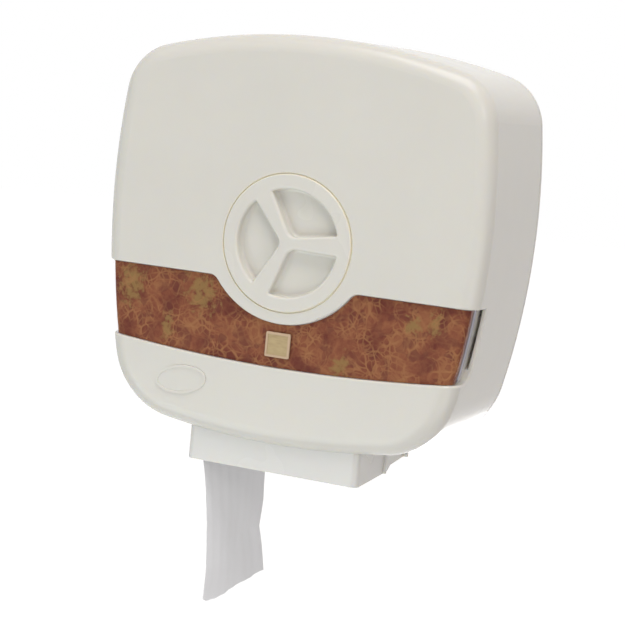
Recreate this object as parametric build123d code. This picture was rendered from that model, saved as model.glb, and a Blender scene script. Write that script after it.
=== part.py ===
from build123d import *
from math import asin, atan, atan2, cos, degrees, hypot, radians, sin
import os

# Jumbo toilet roll dispenser, in millimetres. The origin is on the wall face of the back plate,
# in line with the knob and the spindle. +Z is up, +Y points into the wall, and the cover faces -Y.
# Depths are distances in front of the wall, and insets are measured inwards from the outline.

# Clearances used all over
RUN_GAP = 0.3               # between pieces that move past each other
OVERRUN = 5.0               # how far a cutting tool passes the face it cuts
THREAD_GAP = 0.05           # round a screw in its pilot hole

# Back plate
PLATE_T = 3.0
RIM_HEIGHT = 9.0            # locating rim inside the cover's rear edge
RIM_T = 2.0
RIM_GAP = 0.4
RIM_ENDS = 4.0              # the rim stops this far from the outlet
RIB_HEIGHT = 1.6
RIB_T = 2.0
RIB_COUNT = 8
RIB_INNER = 38.0
RIB_OUTER = 92.0
WALL_HOLE_R = 2.75
WALL_HOLE_X = 95.0
WALL_HOLE_Z = 80.0
WALL_BOSS_R = 9.0
WALL_BOSS_T = 2.0
WALL_SINK_R = 5.2
WALL_SINK_T = 2.4

# Spindle
FLANGE_T = 2.5
FLANGE_R = 32.0
SPINDLE_R = 16.0
SPINDLE_BORE = 10.0
FLANGE_SCREW_AT = 24.0      # radius of the flange screws
FLANGE_SCREWS = 4

# Roll, core and hub
PAPER_WIDTH = 95.0          # standard jumbo roll
PAPER_R = 98.0
CORE_R = 29.0               # inside the cardboard core
CORE_T = 1.5
CORE_GAP = 0.2              # core on the hub, and paper on the core
HUB_FIT = 0.05              # radial running clearance on the spindle
HUB_SLEEVE_T = 2.2
HUB_RING_T = 1.8
HUB_RIB_T = 1.6
HUB_RIBS = 6
HUB_SHOULDER_R = 34.0
HUB_SHOULDER_T = 1.6
HUB_RING_SHORT = 8.0        # the ring ends this far behind the sleeve
THRUST_T = 1.0

# Knob
KNOB_R = 46.9
KNOB_PROUD = 0.8
KNOB_SKIN = 2.4
KNOB_SKIRT = 6.1            # length of the rim
KNOB_SKIRT_T = 2.4
KNOB_EDGE = 1.0
KNOB_HUB_R = 8.0
KNOB_BOSS_R = 3.4
KNOB_BOSS_MARGIN = 8.2      # from the middle of a boss to the ledge
POCKET_MARGIN = 10.1        # between a pocket and the edge of the knob
POCKET_DEPTH = 7.6
POCKET_APEX = 4.4           # where the sides of a pocket would meet
POCKET_HALF_ANGLE = 54.7
POCKET_INNER_CORNER = 7.0
POCKET_OUTER_CORNER = 0.8
POCKET_FILLET = 2.2         # round the floor
POCKET_RIM = 1.9            # rounding of its front edge
POCKET_WALL = 2.0
POCKET_FLOOR_T = 1.5
FIRST_SPOKE = 3.5           # angle of the first spoke, from +X
SPOKES = 3
POCKET_R = KNOB_R - POCKET_MARGIN

# Knob seat in the cover
GROOVE = 0.6                # groove round the knob
GROOVE_DEPTH = 0.7          # down to the knob's collar
KNOB_FIT = 0.1              # radial running clearance of the collar
LEDGE_T = 2.2
LEDGE_LAP = 6.3             # how far the ledge reaches in behind the rim
SEAT_WALL = 2.2
GUSSETS = 9
GUSSET_T = 1.6
GUSSET_LENGTH = 9.0
QUARTER_TURN = 90.0
STOP_R = 1.5
STOP_TAB = 6.0

# Latch
WASHER_T = 0.5
RETAINER_T = 2.0
RETAINER_LAP = 3.8          # how far the retainer reaches out behind the ledge
RETAINER_RING = 4.4
RETAINER_HUB_R = 10.0
RETAINER_SPOKE = 4.6
RETAINER_PAD_R = 4.2
ROLL_CLEARANCE = 1.7        # between the roll and the retainer
STEM_REACH = 4.4            # from the retainer to the keeper
STEM_R = 4.0
STEM_FLANGE_R = 8.0
STEM_FLANGE_T = 1.5
TENON = 6.0
TENON_GAP = 0.1
LUG_REACH = 8.4
LUG_WIDTH = 5.6
LUG_T = 3.0
SLOT_GAP = 0.4
KEEPER_T = 3.0
KEEPER_R = 19.0
KEEPER_LIP = 2.0
KEEPER_LIP_T = 1.0
KEEPER_SCREW_AT = 13.0

LEDGE_INNER = KNOB_R + GROOVE - LEDGE_LAP
RETAINER_R = LEDGE_INNER + RETAINER_LAP
KNOB_BOSS_AT = LEDGE_INNER - KNOB_BOSS_MARGIN

# Depths, built up from the wall through the roll to the knob
FLANGE_FRONT = PLATE_T + FLANGE_T
HUB_BACK = FLANGE_FRONT + RUN_GAP
PAPER_BACK = HUB_BACK + HUB_SHOULDER_T + RUN_GAP
PAPER_FRONT = PAPER_BACK + PAPER_WIDTH
RETAINER_BACK = PAPER_FRONT + ROLL_CLEARANCE
RETAINER_FRONT = RETAINER_BACK + RETAINER_T
WASHER_FRONT = RETAINER_FRONT + WASHER_T
LEDGE_BACK = WASHER_FRONT + RUN_GAP
LEDGE_FRONT = LEDGE_BACK + LEDGE_T
SKIRT_BACK = LEDGE_FRONT + RUN_GAP
KNOB_FACE = SKIRT_BACK + KNOB_SKIRT
POCKET_FLOOR = KNOB_FACE - POCKET_DEPTH
DEPTH = KNOB_FACE - KNOB_PROUD
KEEPER_FRONT = RETAINER_BACK - STEM_REACH
SPINDLE_FRONT = KEEPER_FRONT - KEEPER_T
LUG_FRONT = SPINDLE_FRONT - RUN_GAP
LUG_BACK = LUG_FRONT - LUG_T
THRUST_FRONT = SPINDLE_FRONT - RUN_GAP
THRUST_BACK = THRUST_FRONT - THRUST_T
HUB_FRONT = THRUST_BACK - RUN_GAP

# Outline of the body, seen from the front
HALF_WIDTH = 140.0
TOP = 139.9                 # highest point above the knob
BOTTOM = 140.5              # lowest point below the knob
WIDEST = 24.0               # height of the widest point
TOP_ARC = 423.0             # radii of the crowned sides
BOTTOM_ARC = 530.0
SIDE_ARC = 539.0
TOP_CORNER = 37.5
BOTTOM_CORNER = 54.6
DRAFT = 1.0                 # the outline grows by this much towards the wall

# Front cover
WALL = 2.5
FRONT_FILLET = 12.4
COVER_GAP = 0.6             # between the cover and the plate
HOLE_ROUND = 0.6            # on the edge of the knob's hole
CHANNEL_ROUND = 1.4         # on the edges of the window channel
BOSS_R = 4.0
COVER_BACK = PLATE_T + COVER_GAP
COVER_INSIDE = DEPTH - WALL

# Window band across the cover
BAND_TOP = -27.9            # straight upper edge
BAND_BOTTOM = -86.0         # lowest point of the lower edge
BAND_ARC = 1160.0           # radius of the lower edge
KNOB_BORDER = 8.0           # the upper edge dips round the knob and leaves this much below it
SCALLOP_Z = 6.1             # middle of the dip
SCALLOP_CORNER = 8.0
LENS_SINK = 1.5             # lens face behind the cover's face
LENS_INSET = 3.3            # lens ends inside the cover's outline
LENS_T = 1.2
LENS_CORNER = 6.0
LENS_RETURN = 19.5          # the lens wraps this far back round the corners
LENS_GAP = 0.4              # round the edge of the lens
LAYER_GAP = 0.1             # between lens, decor and channel floor
DECOR_T = 0.5
DECOR_RETURN = 17.5
CHANNEL_RETURN = 24.2       # rear wall of the channel, behind the cover's face
CHANNEL_CORNER = 8.0        # rounding of its lower rear corner
RECESS_DEPTH = 8.0          # deeper recess behind the ends of the lens
RECESS_HEIGHT = 41.0
RECESS_DOWN = 1.0           # below the upper edge of the band
RECESS_ROUND = 7.0          # rounding of its lower rear corner
TONGUE_Z = -54.0            # snap tongues at the ends of the lens
TONGUE_HEIGHT = 14.0
TONGUE_T = 0.9
TONGUE_PAST = 0.5           # the tongues come out behind the recess by this much
TONGUE_GAP = 0.2
SCALLOP_R = KNOB_R + GROOVE + KNOB_BORDER + SCALLOP_Z
SCALLOP_LOW = SCALLOP_Z - SCALLOP_R
LENS_FACE = DEPTH - LENS_SINK
LENS_BACK = LENS_FACE - LENS_T
DECOR_FACE = LENS_BACK - LAYER_GAP
DECOR_BACK = DECOR_FACE - DECOR_T
CHANNEL_FLOOR = DECOR_BACK - LAYER_GAP
DECOR_INSET = LENS_INSET + LENS_T + LAYER_GAP
CHANNEL_INSET = DECOR_INSET + DECOR_T + LAYER_GAP
CHANNEL_BACK = DEPTH - CHANNEL_RETURN
RECESS_BACK = CHANNEL_BACK - RECESS_DEPTH

# Bare square tile on the lens, and bare oval on the cover
TILE_WIDTH = 18.2
TILE_MARGIN = 6.65          # between the tile and the edges of the band
TILE_RAISE = 0.75           # above the middle of the band
TILE_CORNER = 1.2
TILE_PROUD = 0.8
TILE_SEAT = 0.5             # depth of its pocket in the lens
TILE_GAP = 0.15
TILE_BORDER = 1.7
TILE_DISH = 0.4
TILE_HEIGHT = SCALLOP_LOW - BAND_BOTTOM - 2 * TILE_MARGIN
TILE_Z = (SCALLOP_LOW + BAND_BOTTOM) / 2 + TILE_RAISE
OVAL_X = -70.0
OVAL_UP = 36.5              # above the bottom of the cover
OVAL_LONG = 39.0
OVAL_SHORT = 20.0
OVAL_TILT = 10.0
OVAL_PROUD = 0.8
OVAL_BORDER = 1.8
OVAL_DISH = 0.4

# Paper outlet, in two halves
OUTLET_HALF = 64.5          # half the width of the front half
OUTLET_WALL = 2.5
OUTLET_SETBACK = 8.7        # front wall behind the cover's face
OUTLET_SPLIT = 53.2         # depth where the two halves meet
OUTLET_DROP = 17.5          # below the cover
OUTLET_FRONT_DROP = 16.5    # lower edge of the front wall
OUTLET_TAB = 5.0            # width of the lower corners at the front
OUTLET_TAB_DROP = 19.6
OUTLET_RISE = 30.5          # the front wall reaches up inside the cover
OUTLET_SIDE_RISE = 19.5
OUTLET_CORNER = 5.0
OUTLET_GAP = 0.6            # round the outlet where the cover is cut away
BEAD_R = 1.9                # rounded lip on the outside of the front half's rear edge
REAR_WALL_T = 3.0
REAR_GAP = 0.7              # between the halves when closed
REAR_EDGE_DROP = 13.3       # lower edge of the rear half at the wall
REAR_SLOPE_DROP = 15.4
REAR_SLOPE_END = 31.5
REAR_TAB_START = 40.5
REAR_TAB_DROP = 20.7
REAR_TAB_CORNER = 1.0
REAR_PLATE_T = 2.5
TONGUE_LAP = 9.0            # the rear half reaches this far into the front half
TONGUE_CLEAR = 0.4
TONGUE_WALL = 1.6
TONGUE_MARGIN = 3.0
TEAR_LEDGE = 4.5            # toothed ledge inside each side wall
TEAR_LEDGE_T = 1.6
TEAR_LEDGE_DROP = 8.0
TEAR_MARGIN = 2.5
TOOTH_PITCH = 5.0
TOOTH_DEPTH = 2.2
OUTLET_FRONT = DEPTH - OUTLET_SETBACK
OUTLET_INSIDE = OUTLET_FRONT - OUTLET_WALL
OUTLET_INNER = OUTLET_HALF - OUTLET_WALL
OUTLET_SIDE_TOP = OUTLET_SIDE_RISE - BOTTOM
REAR_INNER = OUTLET_HALF - REAR_WALL_T
REAR_FRONT = OUTLET_SPLIT - REAR_GAP

# Paper tail
SHEET_T = 0.4
SHEET_AT = 5.0              # the bend is this far inside the front half's wall
SHEET_LEAN = 14.0           # the free end hangs this far further in
SHEET_BEND_UP = 30.5        # height of the bend above the bottom of the cover
SHEET_BEND_R = 12.0
SHEET_FRONT_DROP = 121.5    # lower corners, below the bottom of the cover
SHEET_REAR_DROP = 115.5
SHEET_X = SHEET_AT - OUTLET_INNER
SHEET_BEND_Z = SHEET_BEND_UP - BOTTOM

# Screws
HEAD_R = 2.9
HEAD_T = 1.9
SHANK_R = 1.5
SINK_R = 3.0
SINK_T = 1.5
DRIVE_LENGTH = 3.0
DRIVE_WIDTH = 0.8
DRIVE_DEPTH = 0.9
OUTLET_SCREW_X = 45.0
OUTLET_SCREW_UP = 23.5      # above the bottom of the cover
OUTLET_SCREW_LENGTH = 7.5
REAR_SCREW_X = 40.0
REAR_SCREW_UP = 10.5
PILOT_SKIN = 0.5            # left at the bottom of a blind pilot hole
RETAINER_SCREW_LENGTH = 7.0
KEEPER_SCREW_LENGTH = 13.0
STEM_SCREW_SINK = 2.4
STEM_SCREW_SKIN = 3.0       # left in front of its tip
OUTLET_SCREW_Z = OUTLET_SCREW_UP - BOTTOM
REAR_SCREW_Z = REAR_SCREW_UP - BOTTOM


def from_wall(depth):
    """A plane parallel to the wall, seen from the front: x to the right, y up."""
    return Plane.XZ.offset(depth)


def slab(face, back, front):
    """A front-view face given thickness between two depths."""
    return extrude(from_wall(back) * face, amount=front - back)


def disc(radius, back, front, x=0, z=0):
    return from_wall((back + front) / 2) * Pos(x, z) * Cylinder(radius, front - back)


def ring(outer, inner, back, front):
    return disc(outer, back, front) - disc(inner, back, front)


def cone(back_radius, front_radius, back, front, x=0, z=0):
    return from_wall((back + front) / 2) * Pos(x, z) * Cone(back_radius, front_radius, front - back)


def block(left, right, back, front, low, high):
    place = Pos((left + right) / 2, -(back + front) / 2, (low + high) / 2)
    return place * Box(right - left, front - back, high - low)


def side_plate(points, left, right):
    """A side-view outline of (depth, height) points, given thickness between two values of x."""
    face = Polygon(*[(-depth, height) for depth, height in points], align=None)
    return extrude(Plane.YZ.offset(left) * face, amount=right - left)


def turned(radius, angle):
    """Front-view x and z at a radius and an angle from +X."""
    return radius * cos(radians(angle)), radius * sin(radians(angle))


def angles(count, first=0):
    return [first + 360 * i / count for i in range(count)]


def spin(shape, angle):
    """A shape turned about the spindle, anticlockwise seen from the front."""
    return Rot(0, -angle, 0) * shape


def cross(x, z, back, front):
    """Cutter for a cross recess."""
    half_length, half_width = DRIVE_LENGTH / 2, DRIVE_WIDTH / 2
    bar = block(x - half_length, x + half_length, back, front, z - half_width, z + half_width)
    return bar + block(x - half_width, x + half_width, back, front, z - half_length, z + half_length)


def pan_screw(x, z, seat, tip):
    """A pan head screw: its head sits on seat and its shank runs to tip."""
    away = 1 if tip < seat else -1
    outer = seat + away * HEAD_T
    recess = sorted((outer, outer - away * DRIVE_DEPTH))
    head = disc(HEAD_R, *sorted((seat, outer)), x, z)
    return head + disc(SHANK_R, *sorted((seat, tip)), x, z) - cross(x, z, *recess)


def sunk_screw(x, z, face, tip):
    """A countersunk screw, its head level with face and its shank running to tip."""
    away = 1 if tip < face else -1
    recess = sorted((face, face - away * DRIVE_DEPTH))
    neck = face - away * SINK_T
    radii = (SHANK_R, SINK_R) if away > 0 else (SINK_R, SHANK_R)
    head = cone(*radii, *sorted((neck, face)), x, z)
    return head + disc(SHANK_R, *sorted((neck, tip)), x, z) - cross(x, z, *recess)


def pilot(x, z, back, front):
    return disc(SHANK_R + THREAD_GAP, back, front, x, z)


def sink(x, z, face, away):
    """Cutter for a countersink in face, which points away from the wall (1) or towards it (-1)."""
    wide, narrow = SINK_R + THREAD_GAP, SHANK_R + THREAD_GAP
    radii = (narrow, wide) if away > 0 else (wide, narrow)
    return cone(*radii, *sorted((face, face - away * SINK_T)), x, z)


def outline(inset=0):
    """The rounded square front view of the body, made of arcs that offset exactly."""
    face = Pos(0, TOP - TOP_ARC) * Circle(TOP_ARC - inset)
    face &= Pos(0, BOTTOM_ARC - BOTTOM) * Circle(BOTTOM_ARC - inset)
    for side in (1, -1):
        face &= Pos(side * (HALF_WIDTH - SIDE_ARC), WIDEST) * Circle(SIDE_ARC - inset)
    face = fillet(face.vertices().sort_by(Axis.Y)[-2:], TOP_CORNER - inset)
    return fillet(face.vertices().sort_by(Axis.Y)[:2], BOTTOM_CORNER - inset)


def draft_at(depth):
    """How far the outline has grown at a depth."""
    return DRAFT * (DEPTH - depth) / (DEPTH - COVER_BACK)


def body_form(inset, back, front, edge):
    """The outline drawn out to the front with its draft, and the front edge rounded."""
    slope = degrees(atan(DRAFT / (DEPTH - COVER_BACK)))
    start = outline(inset - draft_at(back))
    form = extrude(from_wall(back) * start, amount=front - back, taper=slope)
    return fillet(form.faces().sort_by(Axis.Y)[0].edges(), edge)


def band(grow=0):
    """Front view of the window band, with its scallop round the knob."""
    wide = 2 * (HALF_WIDTH + OVERRUN)
    tall = BAND_TOP - BAND_BOTTOM + OVERRUN
    face = Pos(0, BAND_TOP + grow - tall / 2) * Rectangle(wide, tall)
    face &= Pos(0, BAND_BOTTOM + BAND_ARC) * Circle(BAND_ARC + grow)
    face -= Pos(0, SCALLOP_Z) * Circle(SCALLOP_R - grow)
    upper = face.vertices().group_by(Axis.Y)[-1].sort_by(Axis.X)
    return fillet(upper[1:3], SCALLOP_CORNER + grow)


def band_block(edge_gap, back, front, corner):
    """The band given thickness, with its lower rear edge rounded."""
    form = slab(band(-edge_gap), back, front)
    rear = form.faces().sort_by(Axis.Y)[-1]
    return fillet(rear.edges().sort_by(Axis.Z)[0], corner)


def band_core(inset, face_depth, edge):
    """The block that lies behind a layer of the band and shapes its wrapped ends."""
    form = slab(outline(inset), 0, face_depth)
    return fillet(form.faces().sort_by(Axis.Y)[0].edges(), edge)


def layer_corner(inset):
    return LENS_CORNER - (inset - LENS_INSET)


def end_recess(grow):
    """Recess behind both ends of the lens, which leaves the cover's edge as a lip."""
    back, top = RECESS_BACK - grow, BAND_TOP - RECESS_DOWN + grow
    form = slab(outline(WALL - grow), back, CHANNEL_BACK)
    form -= slab(outline(CHANNEL_INSET + grow), back, CHANNEL_BACK)
    low = BAND_TOP - RECESS_DOWN - RECESS_HEIGHT - grow
    space = block(-HALF_WIDTH, HALF_WIDTH, back, CHANNEL_BACK, low, top)
    corner = space.edges().filter_by(Axis.X).group_by(Axis.Z)[0].sort_by(Axis.Y)[-1]
    return form & fillet(corner, RECESS_ROUND + grow)


def channel(grow=0):
    """What the band takes out of the cover, or out of the cover's hollow when grown by the wall."""
    tool = band_block(-grow, CHANNEL_BACK - grow, DEPTH + OVERRUN, CHANNEL_CORNER + grow)
    corner = layer_corner(CHANNEL_INSET)
    return tool - band_core(CHANNEL_INSET + grow, CHANNEL_FLOOR - grow, corner) + end_recess(grow)


def knob_seat():
    """Tube that carries the knob behind the face, with gussets round it."""
    hole = KNOB_R + GROOVE
    seat = disc(hole + SEAT_WALL, LEDGE_BACK, COVER_INSIDE)
    reach = hole + SEAT_WALL + GUSSET_LENGTH
    for angle in angles(GUSSETS, FIRST_SPOKE):
        rib = block(0, reach, LEDGE_FRONT, COVER_INSIDE, -GUSSET_T / 2, GUSSET_T / 2)
        seat += spin(rib, angle)
    return seat


def stop_pegs():
    """Two pegs behind the seat that stop the retainer's tab a quarter turn apart."""
    at = RETAINER_R + RUN_GAP + STOP_R
    margin = degrees((STOP_TAB / 2 + STOP_R + RUN_GAP) / at)
    first = FIRST_SPOKE - margin
    last = FIRST_SPOKE + QUARTER_TURN + margin
    return [disc(STOP_R, RETAINER_BACK, LEDGE_BACK, *turned(at, angle)) for angle in (first, last)]


def lens_tongues(gap=0):
    """Snap tongues at both ends of the lens, or with a gap the slots that they enter."""
    back, front = RECESS_BACK - WALL - TONGUE_PAST, DEPTH - LENS_RETURN
    middle = LENS_INSET + LENS_T / 2
    outer = slab(outline(middle - TONGUE_T / 2 - gap), back - gap, front)
    inner = slab(outline(middle + TONGUE_T / 2 + gap), back - gap, front)
    half = TONGUE_HEIGHT / 2 + gap
    return (outer - inner) & block(-HALF_WIDTH, HALF_WIDTH, back - gap, front,
                                   TONGUE_Z - half, TONGUE_Z + half)


def oval(grow, back, front):
    """The bare oval at the lower left of the cover."""
    face = Ellipse(OVAL_LONG / 2 + grow, OVAL_SHORT / 2 + grow)
    return slab(Pos(OVAL_X, OVAL_UP - BOTTOM) * Rot(0, 0, OVAL_TILT) * face, back, front)


def outlet_notch():
    """Cuts the cover's lower wall away round both halves of the outlet."""
    half = OUTLET_HALF + OUTLET_GAP
    return block(-half, half, 0, OUTLET_FRONT + OUTLET_GAP, -BOTTOM - OVERRUN, OUTLET_SIDE_TOP)


def cover_shell():
    """Outside form of the cover with the window channel, its edges rounded."""
    form = body_form(0, COVER_BACK, DEPTH, FRONT_FILLET)
    shell = form - channel()
    edges = [e for e in shell.edges() if BAND_BOTTOM - RUN_GAP < e.center().Z < BAND_TOP + RUN_GAP]
    outer = [e for e in edges if min(f.distance_to(e @ 0.5) for f in form.faces()) < THREAD_GAP]
    return fillet(outer, CHANNEL_ROUND)


def front_cover():
    shell = cover_shell()
    hollow = body_form(WALL, COVER_BACK - OVERRUN, COVER_INSIDE, FRONT_FILLET - WALL)
    cover = shell - (hollow - channel(WALL) - knob_seat())
    hole = KNOB_R + GROOVE
    cover -= disc(hole, LEDGE_FRONT, DEPTH + OVERRUN)
    rims = cover.edges().filter_by(GeomType.CIRCLE).group_by(Axis.Y)[0]
    cover = fillet([e for e in rims if abs(e.radius - hole) < THREAD_GAP], HOLE_ROUND)
    cover -= disc(LEDGE_INNER, LEDGE_BACK - OVERRUN, DEPTH)
    for peg in stop_pegs():
        cover += peg
    for side in (-1, 0, 1):
        x = side * OUTLET_SCREW_X
        cover += disc(BOSS_R, OUTLET_FRONT, COVER_INSIDE, x, OUTLET_SCREW_Z)
        cover -= pilot(x, OUTLET_SCREW_Z, OUTLET_FRONT, OUTLET_INSIDE + OUTLET_SCREW_LENGTH)
    cover -= outlet_notch()
    cover -= lens_tongues(TONGUE_GAP)
    cover += oval(0, DEPTH - WALL / 2, DEPTH + OVAL_PROUD)
    return cover - oval(-OVAL_BORDER, DEPTH + OVAL_PROUD - OVAL_DISH, DEPTH + OVERRUN)


def tile_face(gap=0):
    face = Rectangle(TILE_WIDTH + 2 * gap, TILE_HEIGHT + 2 * gap)
    return Pos(0, TILE_Z) * fillet(face.vertices(), TILE_CORNER + gap)


def window_lens():
    back = DEPTH - LENS_RETURN
    form = band_block(LENS_GAP, back, DEPTH, CHANNEL_CORNER - LENS_GAP)
    form &= band_core(LENS_INSET, LENS_FACE, LENS_CORNER)
    inner = LENS_INSET + LENS_T
    form -= band_core(inner, LENS_BACK, layer_corner(inner))
    form -= slab(tile_face(TILE_GAP), LENS_FACE - TILE_SEAT, DEPTH)
    return form + lens_tongues()


def decor_panel():
    back = DEPTH - DECOR_RETURN
    form = band_block(LENS_GAP, back, DEPTH, CHANNEL_CORNER - LENS_GAP)
    form &= band_core(DECOR_INSET, DECOR_FACE, layer_corner(DECOR_INSET))
    inner = DECOR_INSET + DECOR_T
    return form - band_core(inner, DECOR_BACK, layer_corner(inner))


def square_tile():
    front = LENS_FACE + TILE_PROUD
    tile = slab(tile_face(), LENS_FACE - TILE_SEAT, front)
    tile = chamfer(tile.faces().sort_by(Axis.Y)[0].edges(), TILE_DISH)
    inside = Rectangle(TILE_WIDTH - 2 * TILE_BORDER, TILE_HEIGHT - 2 * TILE_BORDER)
    return tile - slab(Pos(0, TILE_Z) * inside, front - TILE_DISH, front)


def pocket_face(grow=0):
    """One finger pocket, a rounded sector that points along +X."""
    far = 2 * POCKET_R
    reach, spread = turned(far, POCKET_HALF_ANGLE)
    tip = (POCKET_APEX, 0)
    wedge = Polygon(tip, (POCKET_APEX + reach, -spread), (POCKET_APEX + reach, spread), align=None)
    face = wedge & Circle(POCKET_R)
    corners = face.vertices().sort_by(Axis.X)
    face = fillet(corners[0], POCKET_INNER_CORNER)
    sharp = [v for v in face.vertices() if hypot(v.X, v.Y) > POCKET_R - THREAD_GAP]
    face = fillet(sharp, POCKET_OUTER_CORNER)
    return offset(face, amount=grow) if grow else face


def pocket():
    tool = slab(pocket_face(), POCKET_FLOOR, KNOB_FACE)
    return fillet(tool.faces().sort_by(Axis.Y)[-1].edges(), POCKET_FILLET)


def pocket_angles():
    return angles(SPOKES, FIRST_SPOKE + 180 / SPOKES)


def latch_knob():
    knob = disc(KNOB_R, KNOB_FACE - KNOB_SKIN, KNOB_FACE)
    skirt = KNOB_R - KNOB_SKIRT_T
    knob += ring(KNOB_R, skirt, SKIRT_BACK, KNOB_FACE)
    knob += ring(KNOB_R + GROOVE - KNOB_FIT, skirt, SKIRT_BACK, DEPTH - GROOVE_DEPTH)
    knob += disc(KNOB_HUB_R, RETAINER_FRONT, KNOB_FACE)
    cup = pocket_face(POCKET_WALL)
    for angle in pocket_angles():
        knob += slab(Rot(0, 0, angle) * cup, POCKET_FLOOR - POCKET_FLOOR_T, KNOB_FACE)
    for angle in angles(SPOKES, FIRST_SPOKE):
        at = turned(KNOB_BOSS_AT, angle)
        knob += disc(KNOB_BOSS_R, RETAINER_FRONT, KNOB_FACE, *at)
        knob -= pilot(*at, RETAINER_FRONT, RETAINER_BACK + RETAINER_SCREW_LENGTH)
    for angle in pocket_angles():
        knob -= spin(pocket(), angle)
    knob -= pilot(0, 0, RETAINER_FRONT, KNOB_FACE - STEM_SCREW_SKIN)
    front = knob.faces().sort_by(Axis.Y)[0]
    knob = fillet([edge for wire in front.inner_wires() for edge in wire.edges()], POCKET_RIM)
    return fillet(knob.faces().sort_by(Axis.Y)[0].outer_wire().edges(), KNOB_EDGE)


def latch_retainer():
    """Three-spoked ring behind the seat, screwed to the knob."""
    inner = RETAINER_R - RETAINER_RING
    plate = ring(RETAINER_R, inner, RETAINER_BACK, RETAINER_FRONT)
    plate += disc(RETAINER_HUB_R, RETAINER_BACK, RETAINER_FRONT)
    half = RETAINER_SPOKE / 2
    for angle in angles(SPOKES, FIRST_SPOKE):
        arm = block(0, inner + THREAD_GAP, RETAINER_BACK, RETAINER_FRONT, -half, half)
        plate += spin(arm, angle)
        at = turned(KNOB_BOSS_AT, angle)
        plate += disc(RETAINER_PAD_R, RETAINER_BACK, RETAINER_FRONT, *at)
        plate -= pilot(*at, RETAINER_BACK, RETAINER_FRONT) + sink(*at, RETAINER_BACK, -1)
    reach = KNOB_R + GROOVE
    tab = block(inner, reach, RETAINER_BACK, RETAINER_FRONT, -STOP_TAB / 2, STOP_TAB / 2)
    tab -= disc(inner, RETAINER_BACK, RETAINER_FRONT)
    plate += spin(tab, FIRST_SPOKE)
    hole = TENON / 2 + TENON_GAP
    return plate - block(-hole, hole, RETAINER_BACK, RETAINER_FRONT, -hole, hole)


def retainer_screws():
    tip = RETAINER_BACK + RETAINER_SCREW_LENGTH
    return [sunk_screw(*turned(KNOB_BOSS_AT, angle), RETAINER_BACK, tip)
            for angle in angles(SPOKES, FIRST_SPOKE)]


def slip_ring():
    """Friction ring between the retainer and the ledge."""
    return ring(RETAINER_R, LEDGE_INNER + RUN_GAP, RETAINER_FRONT, WASHER_FRONT)


def latch_stem():
    """Bayonet stem: a T-bar that turns behind the keeper."""
    stem = disc(STEM_R, LUG_BACK, RETAINER_BACK)
    stem += disc(STEM_FLANGE_R, RETAINER_BACK - STEM_FLANGE_T, RETAINER_BACK)
    bar = block(-LUG_REACH, LUG_REACH, LUG_BACK, LUG_FRONT, -LUG_WIDTH / 2, LUG_WIDTH / 2)
    stem += bar & disc(LUG_REACH, LUG_BACK, LUG_FRONT)
    half = TENON / 2
    stem += block(-half, half, RETAINER_BACK, RETAINER_FRONT, -half, half)
    stem -= disc(HEAD_R + THREAD_GAP, LUG_BACK, LUG_BACK + STEM_SCREW_SINK)
    return stem - pilot(0, 0, LUG_BACK, RETAINER_FRONT)


def stem_screw():
    return pan_screw(0, 0, LUG_BACK + STEM_SCREW_SINK, KNOB_FACE - STEM_SCREW_SKIN)


def latch_keeper():
    """Cap on the spindle, with the slot that the T-bar enters and turns behind."""
    keeper = disc(KEEPER_R, SPINDLE_FRONT, KEEPER_FRONT)
    lip = SPINDLE_BORE - HUB_FIT
    keeper += ring(lip, lip - KEEPER_LIP_T, SPINDLE_FRONT - KEEPER_LIP, SPINDLE_FRONT)
    keeper = chamfer(keeper.faces().sort_by(Axis.Y)[0].edges(), KEEPER_LIP_T)
    half = LUG_WIDTH / 2 + SLOT_GAP
    slot = block(-half, half, SPINDLE_FRONT, KEEPER_FRONT, -KEEPER_R, KEEPER_R)
    slot &= disc(LUG_REACH + SLOT_GAP, SPINDLE_FRONT, KEEPER_FRONT)
    keeper -= slot + disc(STEM_R + SLOT_GAP, SPINDLE_FRONT, KEEPER_FRONT)
    for angle in (0, 180):
        keeper -= pilot(*turned(KEEPER_SCREW_AT, angle), SPINDLE_FRONT, KEEPER_FRONT)
    return keeper


def keeper_screws():
    tip = KEEPER_FRONT - KEEPER_SCREW_LENGTH
    return [pan_screw(*turned(KEEPER_SCREW_AT, angle), KEEPER_FRONT, tip) for angle in (0, 180)]


def spindle():
    post = disc(SPINDLE_R, PLATE_T, SPINDLE_FRONT)
    post += disc(FLANGE_R, PLATE_T, FLANGE_FRONT)
    post -= disc(SPINDLE_BORE, FLANGE_FRONT + FLANGE_T, SPINDLE_FRONT)
    for angle in angles(FLANGE_SCREWS, 360 / FLANGE_SCREWS / 2):
        at = turned(FLANGE_SCREW_AT, angle)
        post -= pilot(*at, PLATE_T, FLANGE_FRONT) + sink(*at, FLANGE_FRONT, 1)
    for angle in (0, 180):
        tip = KEEPER_FRONT - KEEPER_SCREW_LENGTH
        post -= pilot(*turned(KEEPER_SCREW_AT, angle), tip, SPINDLE_FRONT)
    return post


def spindle_screws():
    return [sunk_screw(*turned(FLANGE_SCREW_AT, angle), FLANGE_FRONT, PILOT_SKIN)
            for angle in angles(FLANGE_SCREWS, 360 / FLANGE_SCREWS / 2)]


def thrust_washer():
    return ring(KEEPER_R, SPINDLE_R + RUN_GAP, THRUST_BACK, THRUST_FRONT)


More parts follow.
